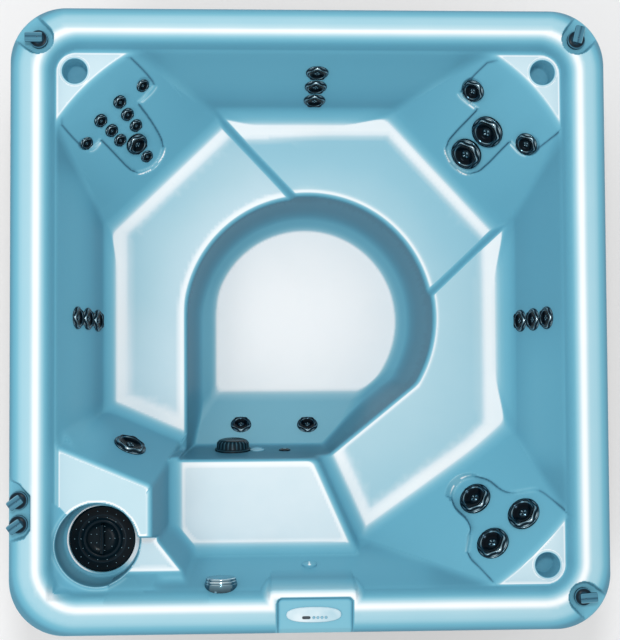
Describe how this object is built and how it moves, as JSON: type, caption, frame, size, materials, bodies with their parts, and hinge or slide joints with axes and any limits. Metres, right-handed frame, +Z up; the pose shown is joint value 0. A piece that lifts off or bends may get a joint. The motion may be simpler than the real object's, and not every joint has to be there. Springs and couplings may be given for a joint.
{
  "type": "hot tub",
  "caption": "Square acrylic hot tub: stepped seats round a deep footwell, jets, filter corner, rim levers and control panel, on a plank-sided cabinet.",
  "frame": {"origin": "on the floor, under the middle of the tub", "axes": "+Z up, the control panel side is the front at -Y, +X to the right when looking from the front"},
  "size_m": [2.1, 2.19, 0.916],
  "materials": {
    "acrylic": "gloss",
    "lever_teal": "satin",
    "dark_chrome": "polished",
    "bright_chrome": "polished",
    "clear_lens": "clear",
    "panel_white": "satin",
    "display_dark": "gloss",
    "key_blue": "matt",
    "black_plastic": "satin",
    "filter_fabric": "matt",
    "cabinet_grey": "wood grain",
    "post_grey": "satin",
    "pan_black": "matt",
    "timber": "sawn",
    "foam": "matt",
    "motor_grey": "satin",
    "heater_steel": "brushed",
    "pipe_white": "satin"
  },
  "bodies": {
    "tub": {"shell": "acrylic", "suction_cover": "black_plastic", "footwell_light_lens": "clear_lens", "footwell_drain": "dark_chrome", "front_water_outlet": "bright_chrome", "sensor_cap": "acrylic", "jet_cluster_back_left": "dark_chrome", "control_panel": "panel_white", "panel_display": "display_dark", "filter_canister": "pipe_white", "cabinet_panel_right": "cabinet_grey", "cabinet_panel_back": "cabinet_grey", "cabinet_panel_left": "cabinet_grey", "corner_post_back_right": "post_grey", "corner_post_back_left": "post_grey", "corner_post_front_left": "post_grey", "corner_post_front_right": "post_grey", "base_pan": "pan_black", "support_frame": "timber", "floor_support": "foam", "pump_wet_end": "black_plastic", "pump_motor": "motor_grey", "heater_tube": "heater_steel", "control_box": "post_grey", "water_return_line": "pipe_white", "suction_line": "pipe_white", "air_line": "pipe_white"},
    "air_lever_back_left": {"air_lever_back_left": "lever_teal"},
    "air_lever_back_right": {"air_lever_back_right": "lever_teal"},
    "air_lever_front_right": {"air_lever_front_right": "lever_teal"},
    "diverter_lever_back": {"diverter_lever_back": "lever_teal"},
    "diverter_lever_front": {"diverter_lever_front": "lever_teal"},
    "jet_large_back_right_upper": {"jet_large_back_right_upper": "dark_chrome"},
    "jet_large_back_right_lower": {"jet_large_back_right_lower": "dark_chrome"},
    "jet_large_front_right_left": {"jet_large_front_right_left": "dark_chrome"},
    "jet_large_front_right_right": {"jet_large_front_right_right": "dark_chrome"},
    "jet_large_front_right_front": {"jet_large_front_right_front": "dark_chrome"},
    "jet_large_filter_wall": {"jet_large_filter_wall": "dark_chrome"},
    "jet_medium_back_left": {"jet_medium_back_left": "dark_chrome"},
    "jet_medium_back_right_back": {"jet_medium_back_right_back": "dark_chrome"},
    "jet_medium_back_right_side": {"jet_medium_back_right_side": "dark_chrome"},
    "jet_medium_back_top": {"jet_medium_back_top": "dark_chrome"},
    "jet_medium_back_middle": {"jet_medium_back_middle": "dark_chrome"},
    "jet_medium_back_bottom": {"jet_medium_back_bottom": "dark_chrome"},
    "jet_medium_left_top": {"jet_medium_left_top": "dark_chrome"},
    "jet_medium_left_middle": {"jet_medium_left_middle": "dark_chrome"},
    "jet_medium_left_bottom": {"jet_medium_left_bottom": "dark_chrome"},
    "jet_medium_right_top": {"jet_medium_right_top": "dark_chrome"},
    "jet_medium_right_middle": {"jet_medium_right_middle": "dark_chrome"},
    "jet_medium_right_bottom": {"jet_medium_right_bottom": "dark_chrome"},
    "jet_medium_foot_left": {"jet_medium_foot_left": "dark_chrome"},
    "jet_medium_foot_right": {"jet_medium_foot_right": "dark_chrome"},
    "panel_key_1": {"panel_key_1": "key_blue"},
    "panel_key_2": {"panel_key_2": "key_blue"},
    "panel_key_3": {"panel_key_3": "key_blue"},
    "panel_key_4": {"panel_key_4": "key_blue"},
    "filter": {"filter_lid": "black_plastic", "filter_cartridge": "filter_fabric"},
    "rotor": {"pump_rotor": "pipe_white"},
    "access_panel": {"cabinet_access_panel_front": "cabinet_grey"}
  },
  "joints": [
    {"name": "air_lever_back_left_turn", "type": "hinge", "parent": "tub", "child": "air_lever_back_left", "pos_m": [-0.948, 0.978, 0.872], "axis": [0, 0, 1], "range_deg": [-75, 75]},
    {"name": "air_lever_back_right_turn", "type": "hinge", "parent": "tub", "child": "air_lever_back_right", "pos_m": [0.946, 0.985, 0.872], "axis": [0, 0, 1], "range_deg": [-75, 75]},
    {"name": "air_lever_front_right_turn", "type": "hinge", "parent": "tub", "child": "air_lever_front_right", "pos_m": [0.946, -0.978, 0.872], "axis": [0, 0, 1], "range_deg": [-75, 75]},
    {"name": "diverter_lever_back_turn", "type": "hinge", "parent": "tub", "child": "diverter_lever_back", "pos_m": [-1.013, -0.624, 0.872], "axis": [0, 0, 1], "range_deg": [-75, 75]},
    {"name": "diverter_lever_front_turn", "type": "hinge", "parent": "tub", "child": "diverter_lever_front", "pos_m": [-1.013, -0.706, 0.872], "axis": [0, 0, 1], "range_deg": [-75, 75]},
    {"name": "jet_large_back_right_upper_turn", "type": "hinge", "parent": "tub", "child": "jet_large_back_right_upper", "pos_m": [0.66778, 0.6998, 0.65476], "axis": [-0.5397, -0.5097, 0.67], "range_deg": [0, 90]},
    {"name": "jet_large_back_right_lower_turn", "type": "hinge", "parent": "tub", "child": "jet_large_back_right_lower", "pos_m": [0.60578, 0.6348, 0.55537], "axis": [-0.5397, -0.5097, 0.67], "range_deg": [0, 90]},
    {"name": "jet_large_front_right_left_turn", "type": "hinge", "parent": "tub", "child": "jet_large_front_right_left", "pos_m": [0.62079, -0.66778, 0.58876], "axis": [-0.5174, 0.546, 0.6589], "range_deg": [0, 90]},
    {"name": "jet_large_front_right_right_turn", "type": "hinge", "parent": "tub", "child": "jet_large_front_right_right", "pos_m": [0.77079, -0.70578, 0.73804], "axis": [-0.5174, 0.546, 0.6589], "range_deg": [0, 90]},
    {"name": "jet_large_front_right_front_turn", "type": "hinge", "parent": "tub", "child": "jet_large_front_right_front", "pos_m": [0.65679, -0.81178, 0.73635], "axis": [-0.5174, 0.546, 0.6589], "range_deg": [0, 90]},
    {"name": "jet_large_filter_wall_turn", "type": "hinge", "parent": "tub", "child": "jet_large_filter_wall", "pos_m": [-0.65985, -0.45626, 0.63214], "axis": [0.3645, 0.8598, 0.3577], "range_deg": [0, 90]},
    {"name": "jet_medium_back_left_turn", "type": "hinge", "parent": "tub", "child": "jet_medium_back_left", "pos_m": [-0.63878, 0.66577, 0.57763], "axis": [0.5552, -0.5666, 0.6088], "range_deg": [0, 90]},
    {"name": "jet_medium_back_right_back_turn", "type": "hinge", "parent": "tub", "child": "jet_medium_back_right_back", "pos_m": [0.60678, 0.8408, 0.71288], "axis": [-0.5397, -0.5097, 0.67], "range_deg": [0, 90]},
    {"name": "jet_medium_back_right_side_turn", "type": "hinge", "parent": "tub", "child": "jet_medium_back_right_side", "pos_m": [0.80078, 0.6438, 0.7193], "axis": [-0.5397, -0.5097, 0.67], "range_deg": [0, 90]},
    {"name": "jet_medium_back_top_turn", "type": "hinge", "parent": "tub", "child": "jet_medium_back_top", "pos_m": [0.032, 0.90376, 0.72214], "axis": [0, -0.9399, 0.3414], "range_deg": [0, 90]},
    {"name": "jet_medium_back_middle_turn", "type": "hinge", "parent": "tub", "child": "jet_medium_back_middle", "pos_m": [0.03, 0.87252, 0.63614], "axis": [0, -0.9399, 0.3414], "range_deg": [0, 90]},
    {"name": "jet_medium_back_bottom_turn", "type": "hinge", "parent": "tub", "child": "jet_medium_back_bottom", "pos_m": [0.029, 0.84092, 0.54914], "axis": [0, -0.9399, 0.3414], "range_deg": [0, 90]},
    {"name": "jet_medium_left_top_turn", "type": "hinge", "parent": "tub", "child": "jet_medium_left_top", "pos_m": [-0.84466, 0.012, 0.67211], "axis": [0.9585, 0, 0.285], "range_deg": [0, 90]},
    {"name": "jet_medium_left_middle_turn", "type": "hinge", "parent": "tub", "child": "jet_medium_left_middle", "pos_m": [-0.81998, 0.011, 0.58911], "axis": [0.9585, 0, 0.285], "range_deg": [0, 90]},
    {"name": "jet_medium_left_bottom_turn", "type": "hinge", "parent": "tub", "child": "jet_medium_left_bottom", "pos_m": [-0.7953, 0.007, 0.50611], "axis": [0.9585, 0, 0.285], "range_deg": [0, 90]},
    {"name": "jet_medium_right_top_turn", "type": "hinge", "parent": "tub", "child": "jet_medium_right_top", "pos_m": [0.86333, 0.003, 0.74014], "axis": [-0.94, 0, 0.3411], "range_deg": [0, 90]},
    {"name": "jet_medium_right_middle_turn", "type": "hinge", "parent": "tub", "child": "jet_medium_right_middle", "pos_m": [0.83321, 0, 0.65714], "axis": [-0.94, 0, 0.3411], "range_deg": [0, 90]},
    {"name": "jet_medium_right_bottom_turn", "type": "hinge", "parent": "tub", "child": "jet_medium_right_bottom", "pos_m": [0.80346, -0.002, 0.57514], "axis": [-0.94, 0, 0.3411], "range_deg": [0, 90]},
    {"name": "jet_medium_foot_left_turn", "type": "hinge", "parent": "tub", "child": "jet_medium_foot_left", "pos_m": [-0.261, -0.40571, 0.22925], "axis": [0, 0.716, 0.6981], "range_deg": [0, 90]},
    {"name": "jet_medium_foot_right_turn", "type": "hinge", "parent": "tub", "child": "jet_medium_foot_right", "pos_m": [0.007, -0.40771, 0.23131], "axis": [0, 0.716, 0.6981], "range_deg": [0, 90]},
    {"name": "panel_key_1_press", "type": "slide", "parent": "tub", "child": "panel_key_1", "axis": [0, 0.1191, -0.9929], "range_m": [0, 0.0015], "stiffness_N_per_m": 400, "springref_m": -0.001},
    {"name": "panel_key_2_press", "type": "slide", "parent": "tub", "child": "panel_key_2", "axis": [0, 0.1191, -0.9929], "range_m": [0, 0.0015], "stiffness_N_per_m": 400, "springref_m": -0.001},
    {"name": "panel_key_3_press", "type": "slide", "parent": "tub", "child": "panel_key_3", "axis": [0, 0.1191, -0.9929], "range_m": [0, 0.0015], "stiffness_N_per_m": 400, "springref_m": -0.001},
    {"name": "panel_key_4_press", "type": "slide", "parent": "tub", "child": "panel_key_4", "axis": [0, 0.1191, -0.9929], "range_m": [0, 0.0015], "stiffness_N_per_m": 400, "springref_m": -0.001},
    {"name": "filter_lift", "type": "slide", "parent": "tub", "child": "filter", "axis": [0, 0, 1], "range_m": [0, 0.47]},
    {"name": "rotor_spin", "type": "hinge", "parent": "tub", "child": "rotor", "pos_m": [-0.35, -0.8, 0.15], "axis": [-1, 0, 0], "continuous": true},
    {"name": "access_panel_removal", "type": "slide", "parent": "tub", "child": "access_panel", "axis": [0, -1, 0], "range_m": [0, 0.35]}
  ]
}
